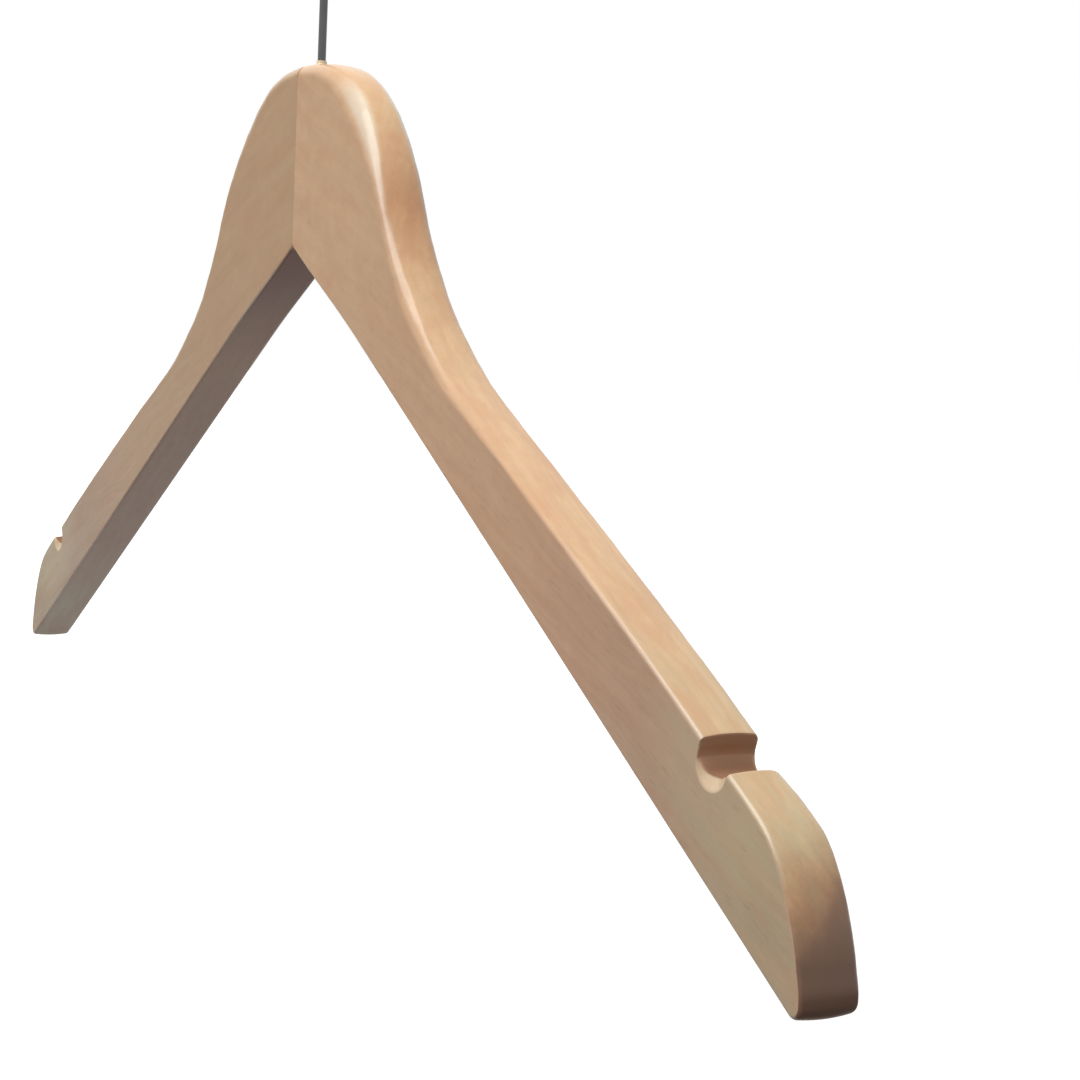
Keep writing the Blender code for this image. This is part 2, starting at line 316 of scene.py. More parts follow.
def under_edge(top_end):
    """The lines round the tip's lower corner, along the straight underside and up the crotch. Over
    tip_blend their rounding turns from the top edge's into the underside's."""
    tip, bend = np.array([half_width, -wood_height]), station(crotch_stations[0])[0]
    corner = rounded_corner(top_end, tip, bend, tip_corner_radius, tip_corner_steps)
    straight = corner[-1] + (bend - corner[-1]) * np.linspace(0, 1, under_steps)[1:-1, None]
    under = np.vstack([corner, straight, smooth_run(crotch_stations, crotch_steps, way=-1)])
    normals = left_of(unit(np.gradient(under, axis=0)))
    normals[-1] = np.array([0, -1]) / -normals[-1][1]
    past_tip = climb(lengths_along(under), 0, tip_blend)
    front, back, crown = (at_tip + (along - at_tip) * past_tip for at_tip, along in (
        (front_radii[-1], under_radius),
        (front_radii[-1] + back_extras[-1], under_radius + under_back_extra), (crowns[-1], 0.0)))
    return standing(under, normals, front, back, crown)[0]


def notch_place(top):
    """The centre of the notch's round end, and how far along the top outline its two lips lie: where
    the outline passes notch_radius to each side of that centre."""
    mouth_x = half_width * notch_place_share
    mouth = np.array([mouth_x, np.interp(mouth_x, top[:, 0], top[:, 1])])
    centre = mouth - notch_out * (notch_depth - notch_radius)
    near = np.abs(top[:, 0] - mouth_x) < 3 * notch_radius
    offset = (top[near] - centre) @ notch_over
    return centre, np.interp([-notch_radius, notch_radius], offset, lengths_along(top)[near])


def notch_surface(centre, first_lip, second_lip):
    """The notch's lines across the thickness, from its first lip to its second.

    A lip is its point on the outline, with the y and the heights of the top edge's line there. q is
    the way walked along the slot's outline: down one wall, round the end and up the other wall.
    wall = centre - radius x void + out x rise, where void points from the wall into the slot.
    Bevels at the faces ease it by notch_bevel x (how far it faces up). Within lip_reach of a lip,
    the bevel goes and each line turns into the lip's own.
    """
    (first, first_y, first_h), (second, second_y, second_h) = first_lip, second_lip
    wall_a, wall_b = (first - centre) @ notch_out, (second - centre) @ notch_out
    half_turn = math.pi * notch_radius
    lip_a, lip_b = -first_h, wall_a + half_turn + wall_b + second_h
    near = np.array(lip_rows[::-1])[:, None]
    inner = lip_a + (lip_b - lip_a) * np.linspace(0, 1, notch_lines)[lip_room:-lip_room, None]
    q = np.vstack([lip_a + near, inner, lip_b - near[::-1]])
    lipness = np.clip(1 - np.minimum(q - lip_a, lip_b - q) / lip_reach, 0, 1)[..., None]
    angle = np.clip((q - wall_a) / notch_radius, 0, math.pi)[..., None]
    rise = np.maximum(np.maximum(wall_a - q, q - wall_a - half_turn), 0)[..., None]
    void = np.cos(angle) * notch_over + np.sin(angle) * notch_out
    bevel = notch_edge_radius + notch_bevel * np.maximum(void[..., 1].mean(axis=1), 0)
    slot_y, slot_h = across_thickness(bevel, bevel, np.zeros(len(q)), bevel_depth_share, bevelled=True)
    lip_y = np.where(q < (lip_a + lip_b) / 2, first_y, second_y)
    y = lipness[..., 0] * lip_y + (1 - lipness[..., 0]) * slot_y
    depth = (bevel[:, None] + slot_h)[..., None] * (1 - lipness)
    wall = centre - notch_radius * void + notch_out * rise + void * depth
    return np.stack([wall[..., 0], y, wall[..., 1]], axis=-1)


def closed_faces(rows, columns, capped=False):
    """Quads of a grid whose rows close on themselves, and a flat face at each end of its columns if
    it is capped."""
    index = np.arange(rows * columns).reshape(rows, columns)
    far = np.roll(index, -1, axis=0)
    quads = np.stack([index[:, :-1], far[:, :-1], far[:, 1:], index[:, 1:]], axis=-1)
    caps = [index[:, 0].tolist(), index[:, -1].tolist()] if capped else []
    return quads.reshape(-1, 4).tolist() + caps


def half_shell(side):
    """One wooden half: lines across the thickness, carried round its outline, and two flat faces.

    Gives its points and faces, and two marks for each point. One is 1 on the bare cut wood between
    the notch's bevels, and the other is 1 on the bevels. Both leave out the outermost lines, which
    the flat faces share.
    """
    top = softened(smooth_run(top_stations, curve_steps), outline_softening)
    centre, (start, end) = notch_place(top)
    first_places = np.r_[np.linspace(0, start - lip_clear, arm_lines), start - np.array(lip_rows), start]
    second_places = np.r_[end, end + np.array(lip_rows[::-1]),
                          np.linspace(end + lip_clear, lengths_along(top)[-1], tip_lines)]
    first, first_part, first_h = top_edge(top, first_places, {0: (0, 1), -1: notch_out})
    second, second_part, second_h = top_edge(top, second_places, {0: notch_out})
    notch_part = notch_surface(centre, (first[-1], first_part[-1, :, 1], first_h[-1]),
                               (second[0], second_part[0, :, 1], second_h[0]))

    # The two lips are pulled in a little, so that their edges are soft
    for lip, way in ((first_part[-1], notch_over), (second_part[0], -notch_over)):
        lip[:, ::2] -= lip_pull * (notch_out + way)

    points = np.vstack([first_part, notch_part, second_part, under_edge(top[-1])])
    points[..., 2] += flat_top
    points[0, :, 0] = points[-1, :, 0] = seam_gap / 2
    points[..., 0] *= side

    rows, columns = points.shape[:2]
    bare, bevelled = np.zeros((2, rows, columns))
    notch_rows = slice(len(first_part), len(first_part) + len(notch_part))
    bare[notch_rows, corner_steps:-corner_steps] = 1
    bevelled[notch_rows, 1:corner_steps] = bevelled[notch_rows, -corner_steps:-1] = 1
    return points, closed_faces(rows, columns, capped=True), bare, bevelled


def mesh_from(name, points, faces, merge=False):
    """A mesh with its faces turned outwards, and with its doubles merged first if asked."""
    mesh = bpy.data.meshes.new(name)
    mesh.from_pydata(points.reshape(-1, 3), [], faces)
    bm = bmesh.new()
    bm.from_mesh(mesh)
    if merge:
        bmesh.ops.remove_doubles(bm, verts=bm.verts, dist=1e-7)
        bmesh.ops.dissolve_degenerate(bm, edges=bm.edges, dist=1e-8)
    bmesh.ops.recalc_face_normals(bm, faces=bm.faces)
    bm.to_mesh(mesh)
    bm.free()
    return mesh


def turned(name, profile, steps, closed=True):
    """A profile of (radius, z) pairs turned about Z: x = r cos a, y = r sin a.

    A radius or a z may be an array, with a number for each angle. A profile that isn't closed starts
    and ends on the axis.
    """
    angle = np.linspace(0, 2 * math.pi, steps, endpoint=False)
    rings = [np.stack([r * np.cos(angle), r * np.sin(angle), np.broadcast_to(z, steps)], axis=-1)
             for r, z in profile]
    points = np.stack(rings + rings[:1] if closed else rings, axis=1)
    return mesh_from(name, points, closed_faces(*points.shape[:2]), merge=True)


def soft_profile(corners, radius, steps=4):
    """A closed profile of (radius, z) corners with each corner turned into an arc."""
    corners = [np.array(corner, float) for corner in corners]
    return np.vstack([rounded_corner(corners[i - 1], corner, corners[(i + 1) % len(corners)], radius, steps)
                      for i, corner in enumerate(corners)])


def nut_mesh(low, high, flats, bore, side_steps=12, chamfer=0.00012, chamfer_circle_share=0.97):
    """A hexagon nut. Its radius at angle a is apothem / cos(a, folded into one side), and its corners
    are turned off at 30 degrees: their height drops by tan 30 x (radius - chamfer circle)."""
    apothem = flats / 2
    angle = np.linspace(0, 2 * math.pi, 6 * side_steps, endpoint=False)
    folded = (angle + math.pi / 6) % (math.pi / 3) - math.pi / 6
    hexagon, circle = apothem / np.cos(folded), apothem * chamfer_circle_share
    drop = np.maximum(hexagon - circle, 0) * math.tan(math.pi / 6)
    profile = [(bore + chamfer, high), (circle, high), (hexagon, high - drop), (hexagon, low + drop),
               (circle, low), (bore + chamfer, low), (bore, low + chamfer), (bore, high - chamfer)]
    return turned("nut", profile, len(angle))


def wire_path(bend_steps=40, crook_steps=260):
    """The wire's centre line as (x, z): threaded end, shank, bend, straight run and round crook."""
    turn = np.linspace(0, bend_angle, bend_steps)
    bend = bend_start + bend_radius * np.column_stack([1 - np.cos(turn), np.sin(turn)])
    turn = np.linspace(-bend_angle, crook_end, crook_steps)
    crook = crook_centre + crook_radius * np.column_stack([np.cos(turn), np.sin(turn)])
    return np.vstack([[0, hook_low[2]], bend, crook])


def wire_mesh(sides=24, thread_rings=110, plain_rings=420, cap_rings=9):
    """A round wire along its path: point = path + r (cos a normal + sin a Y).

    r is the wire's radius, less a triangle wave that climbs one pitch a turn on the threaded end,
    and it shrinks as a quarter ellipse at the crook's end and in a chamfer at the threaded one.
    """
    path = wire_path()
    cap_start = lengths_along(path)[-1] - wire_radius
    cap = wire_radius * np.sin(np.linspace(0, math.pi / 2, cap_rings))
    distances = np.unique(np.r_[np.linspace(0, thread_length, thread_rings),
                                np.linspace(thread_length, cap_start, plain_rings), cap_start + cap])
    line, normal = walk_with_normals(path, distances, nudge=0.0002)
    distances = distances[:, None]
    angle = np.linspace(0, 2 * math.pi, sides, endpoint=False)
    phase = (distances / thread_pitch - angle / (2 * math.pi)) % 1
    runout = np.clip((thread_length - distances) / thread_pitch, 0, 1)
    groove = thread_depth * (1 - np.abs(2 * phase - 1)) * runout
    into_cap = np.clip((distances - cap_start) / wire_radius, 0, 1)
    radius = (wire_radius - groove) * np.sqrt(np.maximum(1 - into_cap ** 2, cap_flat_share ** 2))
    radius = np.minimum(radius, threaded_end_share * wire_radius + distances)[..., None]
    upright, sideways = np.insert(normal, 1, 0, axis=1)[:, None], np.array([0, 1, 0])
    ring = radius * (np.cos(angle)[:, None] * upright + np.sin(angle)[:, None] * sideways)
    points = np.swapaxes(np.insert(line, 1, 0, axis=1)[:, None] + ring, 0, 1)
    return mesh_from("hook", points, closed_faces(*points.shape[:2], capped=True))


def add_object(name, data):
    """Puts a mesh, a lamp or a camera in the scene."""
    piece = bpy.data.objects.new(name, data)
    bpy.context.scene.collection.objects.link(piece)
    return piece


def smoothed(mesh, crease):
    """The mesh shaded smooth, but sharp where its faces meet at more than the crease angle."""
    mesh.shade_smooth()
    mesh.set_sharp_from_angle(angle=crease)
    return mesh


def cut(name, mesh, tool_mesh):
    """The mesh less the tool, as an object."""
    piece, tool = add_object(name, mesh), add_object(name + "_tool", tool_mesh)
    modifier = piece.modifiers.new("bore", "BOOLEAN")
    modifier.operation, modifier.object = "DIFFERENCE", tool
    bpy.context.view_layer.update()
    result = bpy.data.meshes.new_from_object(piece.evaluated_get(bpy.context.evaluated_depsgraph_get()))
    piece.modifiers.clear()
    piece.data = result
    bpy.data.objects.remove(tool)
    return piece


def mark(mesh, name, values):
    """A number for each point of the mesh, which its finish reads by name."""
    mesh.attributes.new(name, "FLOAT", "POINT").data.foreach_set("value", values.ravel())


def facing(mesh, direction):
    """How far the surface faces a direction: normal . direction."""
    normals = np.empty(3 * len(mesh.vertices))
    mesh.vertex_normals.foreach_get("vector", normals)
    return normals.reshape(-1, 3) @ np.array(direction)


def heights(mesh):
    """The z of each point."""
    places = np.empty(3 * len(mesh.vertices))
    mesh.vertices.foreach_get("co", places)
    return places[2::3]


def grain_run(side):
    """The way the grain runs: down the arm, and a little flatter than it."""
    return side * math.cos(grain_slope), 0, -math.sin(grain_slope)


def mark_half(mesh, side):
    """Marks each point of a half with what its finish reads.

    end_grain is |normal . grain|, over the normal's length in the board's plane, so that a rounded
    edge counts as the edge does. The mark for the tip's end under its curve, facing out along X,
    is where its finish paints shade, as that end turns from the light. lacquer is 1, less what the
    wood drinks on end grain, on the undersides and on the flat faces.
    """
    flat_face = np.abs(facing(mesh, (0, 1, 0)))
    in_plane = np.maximum(np.sqrt(1 - np.minimum(flat_face, 1) ** 2), 0.35)
    end_grain = np.abs(facing(mesh, grain_run(side))) / in_plane
    mark(mesh, "end_grain", end_grain)
    mark(mesh, "facing_up", facing(mesh, (0, 0, 1)))
    mark(mesh, "flat_face", flat_face)
    drop = (head_top - heights(mesh)) / wood_height
    # Painted shade mark: the tip's end under its curve, where it turns from the light
    mark(mesh, "shaded_tip_end", climb(drop, 0.937, 0.952) * climb(np.abs(facing(mesh, (1, 0, 0))), 0.75, 0.95))
    thin_lacquer = [0.8 * climb(end_grain, 0.72, 0.93), 0.4 * climb(facing(mesh, (0, 0, -1)), 0.1, 0.6),
                    0.6 * climb(flat_face, 0.93, 0.995)]
    mark(mesh, "lacquer", 1 - np.maximum.reduce(thin_lacquer))


# The two halves, each less the bush's hole, the shank's hole and the recess for washer and nut
bore_top, bore_bottom = head_top + past_wood_above, nut_low[2] - past_wood_below
bush_seat, washer_seat = bush_low[2] - clearance, washer_high[2] + clearance
bore_profile = [
    (0, bore_top), (bush_hole_radius, bore_top), (bush_hole_radius, bush_seat),
    (shank_hole_radius, bush_seat), (shank_hole_radius, washer_seat),
    (counterbore_radius, washer_seat), (counterbore_radius, bore_bottom), (0, bore_bottom)]
halves = {}
for name, side in (("left_arm", -1), ("right_arm", 1)):
    shell_points, shell_faces, bare_wood, bevelled_wood = half_shell(side)
    shell = mesh_from(name, shell_points, shell_faces)
    mark(shell, "bare_wood", bare_wood)
    mark(shell, "bevelled_wood", bevelled_wood)
    half = cut(name.replace("arm", "half"), shell, turned("bore_tool", bore_profile, 48, closed=False))
    mark_half(smoothed(half.data, wood_crease), side)
    halves[name] = half

# The bush: a sleeve in the wood under a low conical cap that sits on the crown of the head
bush_bore = wire_radius + bush_fit
bush = add_object("bush", turned("bush", soft_profile(
    [(bush_bore + width, head_top + rise) for width, rise in collar]
    + [(flange_radius, head_top + flange_rise), (flange_radius, head_top - flange_sink),
       (sleeve_radius, head_top - flange_sink), (sleeve_radius, bush_low[2]), (bush_bore, bush_low[2])],
    bush_softness), 64))

# The washer, the nut and the hook
washer_bore, washer_edge = wire_radius + washer_fit, washer_high[0]
washer = add_object("washer", turned("washer", soft_profile(
    [(washer_bore, washer_high[2]), (washer_edge, washer_high[2]),
     (washer_edge, washer_low[2]), (washer_bore, washer_low[2])], washer_softness), 64))
nut = add_object("nut", nut_mesh(nut_low[2], nut_high[2], nut_high[0] * 2, wire_radius + nut_fit))
hook = add_object("wire_hook", wire_mesh())
for piece in (bush, washer, nut, hook):
    smoothed(piece.data, fitting_crease)


class Value:
    """A number that varies over a surface. Arithmetic on it adds Math nodes to its finish."""

    def __init__(self, finish, socket):
        self.finish, self.socket = finish, socket

    def maths(self, operation, *others, clamp=False):
        values = dict(enumerate((self,) + others))
        return self.finish.node("ShaderNodeMath", {"operation": operation, "use_clamp": clamp}, values)

    def __add__(self, other):
        return self.maths("ADD", other)

    def __sub__(self, other):
        return self.maths("SUBTRACT", other)

    def __mul__(self, other):
        return self.maths("MULTIPLY", other)

    def __pow__(self, other):
        return self.maths("POWER", other)

    def __rsub__(self, other):
        return self.maths("MULTIPLY_ADD", -1.0, other)

    __radd__, __rmul__ = __add__, __mul__

    def clamped(self):
        return self.maths("ADD", 0.0, clamp=True)

    def step(self, low, high):
        """0 below low and 1 above high, with a smooth climb between."""
        values = {"Value": self, "From Min": low, "From Max": high}
        return self.finish.node("ShaderNodeMapRange", {"interpolation_type": "SMOOTHSTEP"}, values)

    def band(self, rise, fall):
        """A climb from 0 to 1 over the first stretch, and back to 0 over the second."""
        return self.step(*rise) * (1 - self.step(*fall))


class Nodes:
    """A node tree, and one way to add to it."""

    def __init__(self, tree):
        self.nodes, self.links = tree.nodes, tree.links

    def node(self, kind, settings, values, output=0):
        """One node: its settings first, then its sockets' values or links. Gives one of its outputs."""
        node = self.nodes.new(kind)
        for name, setting in settings.items():
            setattr(node, name, setting)
        for socket, value in values.items():
            if isinstance(value, Value):
                self.links.new(value.socket, node.inputs[socket])
            else:
                node.inputs[socket].default_value = value
        return Value(self, node.outputs[output])

    def place(self, kind="Object"):
        """Where a point lies in its object's own frame, or a direction in the world's."""
        return self.node("ShaderNodeTexCoord", {}, {}, kind)

    def along(self, place, direction):
        """How far a place lies along a direction."""
        return self.node("ShaderNodeVectorMath", {"operation": "DOT_PRODUCT"},
                         {0: place, 1: direction}, "Value")

    def length(self, place):
        """How far a place lies from the origin."""
        return self.node("ShaderNodeVectorMath", {"operation": "LENGTH"}, {0: place}, "Value")

    def seen(self):
        """1 where the camera, a reflection or a view through glass meets this, else 0."""
        camera, glossy, through = (self.node("ShaderNodeLightPath", {}, {}, f"Is {kind} Ray")
                                   for kind in ("Camera", "Glossy", "Transmission"))
        return camera.maths("MAXIMUM", glossy).maths("MAXIMUM", through)


class Finish(Nodes):
    """A material and the nodes behind its Principled shader."""

    def __init__(self, name, constants):
        self.material = bpy.data.materials.new(name)
        self.material.use_nodes = True
        super().__init__(self.material.node_tree)
        self.shader = self.nodes["Principled BSDF"]
        for socket, value in constants.items():
            self.shader.inputs[socket].default_value = value

    def feed(self, socket, value):
        self.links.new(value.socket, self.shader.inputs[socket])

    def marked(self, name):
        """The number that the mesh has under a name."""
        return self.node("ShaderNodeAttribute", {"attribute_name": name}, {}, "Fac")

    def vector(self, x, y, z):
        return self.node("ShaderNodeCombineXYZ", {}, {0: x, 1: y, 2: z})

    def noise(self, place, detail, roughness, scale=1.0):
        return self.node("ShaderNodeTexNoise", {}, {"Vector": place, "Scale": scale, "Detail": detail,
                                                    "Roughness": roughness})

    def blend(self, share, first, second, mode="MIX"):
        """A colour between two: 6 and 7 are the Mix node's colour sockets."""
        return self.node("ShaderNodeMix", {"data_type": "RGBA", "blend_type": mode},
                         {0: share, 6: first, 7: second}, 2)

    def tinted(self, colour, tint, share=1.0):
        """The colour times a tint, where the share is 1."""
        return self.blend(share, colour, tint, "MULTIPLY")

    def bump(self, height, strength, distance):
        values = {"Strength": strength, "Distance": distance, "Height": height}
        self.feed("Normal", self.node("ShaderNodeBump", {}, values))


def lacquered_wood(name, side, pale, dark, warm, arm_tint, under_arm_lighting, under_tip_lighting):
    """Pale hardwood under satin lacquer.

    u runs along the grain, v across it in the board's face, and w through the board. The board is
    cut flat: its growth rings are wide arcs round a pith behind the back face, so they show as fine
    lines on the edges and as a faint broad figure on the faces. Noise stretched along the grain, at
    (u / long, v / wide, ring / deep), gives bands, streaks, fibres and short dark pores. The tone is
    0.5 + the sum of (noise - 0.5) x its share, and the bands fade and the streaks grow along the arm.

    Wood that is cut across the grain drinks more lacquer and turns darker and redder, most of all
    on the tip, where painted shade darkens it further, as it does towards the back. The face has a
    paler patch by the notch. The rounded edge has a painted sheen where the head ends and a painted
    highlight line on the front of the outer arm. Tints lighter at the head and darker towards the tip
    paint the light falling off down the arm. The undersides have painted shade, darkest into the
    crotch, and further out painted shade on the right half and painted light on the left. The notch's
    bevels have a painted highlight, and the bare slot's floor has painted shade where it faces up.
    """
    wood = Finish(name, {"Coat Roughness": 0.22, "Coat IOR": 1.52, "Specular IOR Level": 0.0})
    place = wood.place()
    u = wood.along(place, grain_run(side))
    v = wood.along(place, (side * math.sin(grain_slope), 0, math.cos(grain_slope)))
    w = wood.along(place, (0, 1, 0))

    def grained(across, through, long, wide, deep, shift, detail=2.0, roughness=0.5):
        """Noise of the given lengths along the grain, across it and through the board."""
        spot = wood.vector(u * (1 / long) + (shift - 3.7 * side), across * (1 / wide), through * (1 / deep))
        return wood.noise(spot, detail, roughness)

    sway = grained(v, w, 0.060, 0.030, 0.030, 3.0)
    v, w = v + (sway - 0.5) * 0.012, w + (sway - 0.5) * 0.004
    ring = ((v - pith_across) ** 2.0 + (pith_depth - w) ** 2.0) ** 0.5
    bands = grained(v, ring, 0.070, 0.010, 0.0036, 11.0)
    streaks = grained(v, ring, 0.022, 0.0019, 0.0011, 23.0, 5.0, 0.65)
    fibres = grained(v, ring, 0.012, 0.0005, 0.0005, 31.0)
    pores = grained(v, ring, 0.0045, 0.0006, 0.0005, 41.0).step(0.60, 0.74)
    patches = grained(v, ring, 0.016, 0.0060, 0.0050, 53.0, 3.0)
    cool = grained(v, ring, 0.040, 0.0050, 0.0040, 67.0)
    mottle = wood.noise(place, 3.0, 0.55, 260.0)
    lines = (ring * (2 * math.pi / growth_ring)).maths("SINE")
    bare_wood, bevelled_wood, shaded_tip_end, flat_face, facing_up, lacquer = map(wood.marked, (
        "bare_wood", "bevelled_wood", "shaded_tip_end", "flat_face", "facing_up", "lacquer"))
    end_grain = wood.marked("end_grain") * (1 - bevelled_wood)
    down = (0 - facing_up).step(0.5, 0.8)
    wavy_u = u + (sway - 0.5) * 0.03 + 0.01
    past_head, tipward = wavy_u.step(0.06, 0.17), wavy_u.step(0.20, 0.29)

    # The wood itself: tone, warm and cool patches, the pale patch by the notch, and pores
    band_share = 1.2 - flat_face * (0.5 + past_head * 0.4)
    streak_share = 0.5 + past_head * 0.7 + flat_face * past_head * 0.3
    fibre_share = 0.3 - flat_face * 0.2
    mottle_share = 0.7 - past_head * 0.2
    tone = (0.5 + (bands - 0.5) * band_share + (streaks - 0.5) * streak_share
            + (fibres - 0.5) * fibre_share + (mottle - 0.5) * mottle_share + lines * 0.05).clamped()
    colour = wood.blend(tone, dark, pale)
    warm_share = 0.75 - flat_face * (0.3 + past_head * 0.25)
    colour = wood.blend(patches.step(0.42, 0.66) * warm_share, colour, warm)
    colour = wood.blend(cool.step(0.45, 0.62) * (0.10 + tipward * 0.28), colour, cool_wood)
    from_patch = (((u - patch_along) * patch_squeeze) ** 2.0 + (v - patch_across) ** 2.0) ** 0.5
    colour = wood.blend((1 - from_patch.step(0.006, 0.018)) * flat_face * 0.4, colour, pale_patch)
    colour = wood.blend(pores * (0.11 + flat_face * past_head * 0.12), colour, pore_dark)

    # Cut across the grain, and soaked where that is strongest: the end grain's own darkening, with painted
    # shade towards the back and on the tip
    colour = wood.tinted(colour, end_grain_tint, end_grain.step(0.40, 0.74))
    soaked_and_shaded = (end_grain + w * 10.0 + (mottle - 0.5) * 0.15).step(0.56, 0.78)
    colour = wood.blend(soaked_and_shaded * (0.12 + tipward * 0.8) * (1 - down * 0.5), colour, soaked_and_shaded_wood)

    # The rounded edge: a painted sheen where the head ends, a painted highlight line on the front of the
    # outer arm
    rounding = flat_face.band((0.15, 0.45), (0.85, 0.98))
    head_sheen = u.band((0.048, 0.062), (0.060, 0.115))
    colour = wood.blend(rounding * head_sheen * 0.5, colour, painted_head_sheen)
    # painted highlight line along the front of the outer arm's rounded edge
    front_highlight_line = u.band((0.18, 0.22), (0.268, 0.288)) * (1 - w.step(-0.003, 0.001)) * (1 - bevelled_wood)
    colour = wood.blend(rounding * front_highlight_line * 0.4, colour, painted_edge_highlight)

    # Tints of the head, arm and tip, lighter at the head and darker towards the tip as painted light
    # falloff, of the edges and faces, and of the heartwood in the face
    colour = wood.tinted(colour, wood.blend(tipward, wood.blend(past_head, head_lit_tint, arm_tint), tip_shade_tint))
    colour = wood.tinted(colour, wood.blend(flat_face, edge_tint, face_tint))
    colour = wood.tinted(colour, heart_tint, u.band((0.17, 0.22), (0.25, 0.275)) * flat_face)

    # Painted shade on the tip's end under its curve and on the undersides, darkest into the crotch, with
    # painted light on the left half's undersides further out; a painted highlight on the notch's bevels;
    # and the bare slot, with painted shade on its floor where it faces up
    colour = wood.blend(shaded_tip_end * 0.42, colour, tip_end_shade)
    # painted shade and light on the undersides: darkest into the crotch, then each half's own tints
    under_lighting = wood.blend(tipward, wood.blend(u.step(0.05, 0.11), crotch_shade_tint, under_arm_lighting), under_tip_lighting)
    colour = wood.tinted(colour, under_lighting, down)
    # painted highlight on the notch's bevels
    colour = wood.blend(bevelled_wood * 0.35, colour, bevel_highlight)
    # the bare slot, with painted shade on its floor where it faces up
    colour = wood.blend(bare_wood, colour, wood.blend(facing_up.step(0.15, 0.90), slot_wall, slot_floor_shade))

    wood.feed("Base Color", colour)
    wood.feed("Roughness", 0.36 + streaks * 0.12 + bare_wood * 0.4)
    wood.feed("Coat Weight", lacquer * (1 - bare_wood))
    wood.bump(fibres * 0.3 + streaks * 0.6 - pores * 0.4, 0.08, 0.0002)
    return wood.material


def darker(colour, share):
    """The colour times a share."""
    return [share * part for part in colour[:3]] + [1]


def plated_steel(name, colour, roughness):
    """Drawn or stamped steel under plating, with fine marks and a cloudy darkening."""
    steel = Finish(name, {"Metallic": 1.0})
    place = steel.place()
    marks = steel.noise(place, 3.0, 0.6, 900.0)
    cloud = steel.noise(place, 2.0, 0.5, 120.0)
    steel.feed("Base Color", steel.blend((cloud - 0.3).clamped(), colour, darker(colour, 0.8)))
    steel.feed("Roughness", roughness - 0.05 + marks * 0.10)
    steel.bump(marks, 0.06, 0.0001)
    return steel.material


def moulded_plastic(name, colour):
    """Plain moulded plastic with a faint orange-peel surface."""
    plastic = Finish(name, {"Roughness": 0.4})
    peel = plastic.noise(plastic.place(), 2.0, 0.5, 1500.0)
    plastic.feed("Base Color", plastic.blend(peel, colour, darker(colour, 0.9)))
    plastic.bump(peel, 0.05, 0.0001)
    return plastic.material


def dress(piece, body, node, finish):
    """The piece stands for a solid, moves with its body and wears the finish."""
    piece.data.materials.clear()
    piece.data.materials.append(finish)
    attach(piece, body)
    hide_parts(node)


# The under tints of each half are painted light and shade on its undersides
wood_left = lacquered_wood(
    "lacquered_wood_left", -1, pale=(0.57, 0.345, 0.183, 1), dark=(0.465, 0.27, 0.135, 1),
    warm=(0.51, 0.275, 0.14, 1), arm_tint=(1.02, 1.00, 0.97, 1),
    under_arm_lighting=(1.18, 1.13, 1.50, 1), under_tip_lighting=(1.6, 1.62, 2.0, 1))
wood_right = lacquered_wood(
    "lacquered_wood_right", 1, pale=(0.74, 0.45, 0.25, 1), dark=(0.58, 0.335, 0.18, 1),
    warm=(0.62, 0.32, 0.165, 1), arm_tint=(0.98, 0.92, 0.88, 1),
    under_arm_lighting=(0.80, 0.76, 0.74, 1), under_tip_lighting=(0.85, 0.80, 0.80, 1))
dark_wire = plated_steel("dark_wire", (0.107, 0.108, 0.108, 1), 0.30)
zinc = plated_steel("zinc_plating", (0.60, 0.60, 0.58, 1), 0.34)
cap_plastic = moulded_plastic("wood_coloured_plastic", (0.75, 0.61, 0.40, 1))

dress(halves["left_arm"], "wooden_body", "left_arm", wood_left)
dress(halves["right_arm"], "wooden_body", "right_arm", wood_right)
dress(bush, "wooden_body", "hook_bush", cap_plastic)
dress(hook, "hook", "hook", dark_wire)
dress(washer, "hook", "hook_washer", zinc)
dress(nut, "hook", "hook_nut", zinc)


# Camera, as worked out from the photograph's perspective
azimuth, elevation, roll = (math.radians(angle) for angle in (61.088, 5.116, 2.600))
camera_place = np.array([0.48452, -0.20141, flat_top - 0.06483])
focal_pixels, picture_width, film_width = 2125.12, 1080, 36.0

# The floor's glow beside the object and how far off it is full, and its greys for light and for eyes
glow_beside, glow_full = 0.66, (0.4, 1.6)
floor_unseen, floor_seen = (0.16, 0.16, 0.16, 1), (0.4, 0.4, 0.4, 1)
black, white = (0, 0, 0, 1), (1, 1, 1, 1)


def stand(thing, right, up, back, place):
    """Puts a lamp or a camera at a place, with its own X, Y and Z along three directions."""
    axes = np.eye(4)
    axes[:3] = np.column_stack([right, up, back, place])
    thing.matrix_world = Matrix(axes)


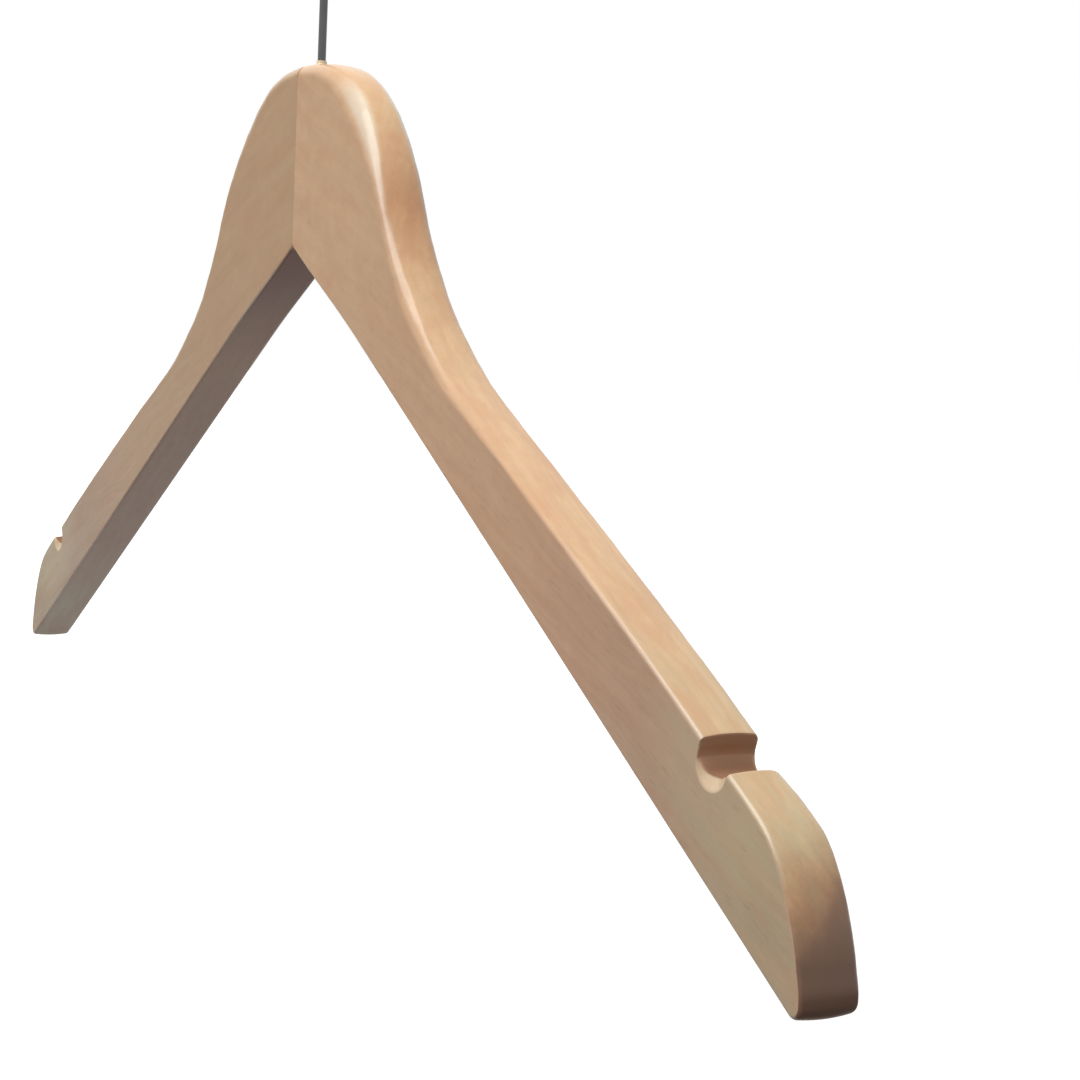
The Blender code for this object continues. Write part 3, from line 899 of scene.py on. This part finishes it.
def add_camera():
    """The camera looks against back, and its picture is rolled about that."""
    back = np.array([math.sin(azimuth) * math.cos(elevation), -math.cos(azimuth) * math.cos(elevation),
                     math.sin(elevation)])
    right = np.array([math.cos(azimuth), math.sin(azimuth), 0])
    up = np.cross(back, right)
    data = bpy.data.cameras.new("camera")
    data.sensor_width, data.lens = film_width, focal_pixels * film_width / picture_width
    data.clip_start, data.clip_end = 0.01, 20.0
    camera = add_object("camera", data)
    stand(camera, math.cos(roll) * right + math.sin(roll) * up,
          math.cos(roll) * up - math.sin(roll) * right, back, camera_place)
    bpy.context.scene.camera = camera


def add_lamp(name, place, aim, size, power):
    """A soft rectangular lamp at a place, facing another. Its right is level, across back and Y;
    the 0.001 keeps that right when it faces straight along Y."""
    data = bpy.data.lights.new(name, "AREA")
    data.shape, data.size, data.size_y = "RECTANGLE", *size
    data.energy = power
    back = unit(np.array(place, float) - np.array(aim, float))
    right = unit(np.cross((0, 1, 0.001), back))
    stand(add_object(name, data), right, np.cross(back, right), back, place)


def add_floor(z):
    """A floor that is white where it is seen, and that throws little light up at the object. Near the
    object its glow is weaker by what the lamps add there, so that it keeps the object's shadow."""
    bpy.ops.mesh.primitive_plane_add(size=60, location=(0, 0, z))
    floor = bpy.context.object
    floor.name = "floor"
    paper = Finish("pale_floor", {"Roughness": 1.0, "Specular IOR Level": 0.0, "Emission Strength": 1.0})
    far = paper.length(paper.place()).step(*glow_full)
    seen = paper.seen()
    paper.feed("Emission Color", paper.blend(seen * (glow_beside + far * (1 - glow_beside)), black, white))
    paper.feed("Base Color", paper.blend(seen, floor_unseen, floor_seen))
    floor.data.materials.append(paper.material)


def add_world(light_above, light_below):
    """A plain surround: white where it is seen, and a soft light that is weaker from below."""
    world = bpy.data.worlds.new("surround")
    world.use_nodes = True
    bpy.context.scene.world = world
    surround = Nodes(world.node_tree)
    background = surround.nodes["Background"]
    background.inputs["Color"].default_value = white
    height = surround.along(surround.place("Generated"), (0, 0, 1))
    light = height.step(0.45, 1.0) * (light_above - light_below) + light_below
    seen = surround.seen()
    surround.links.new((seen + (1 - seen) * light).socket, background.inputs["Strength"])


add_camera()
add_floor(arm_low[2] - 0.21)
add_world(light_above=1.85, light_below=0.05)
add_lamp("key", place=(0.13, -0.72, head_top + 0.88), aim=(0.02, -0.05, head_top - 0.05),
         size=(0.76, 1.1), power=11.5)
add_lamp("front_fill", place=(-0.9, -1.5, head_top + 0.15), aim=(0, 0, head_top - 0.08),
         size=(1.2, 1.2), power=1.0)

bpy.context.scene.view_settings.view_transform = "Standard"
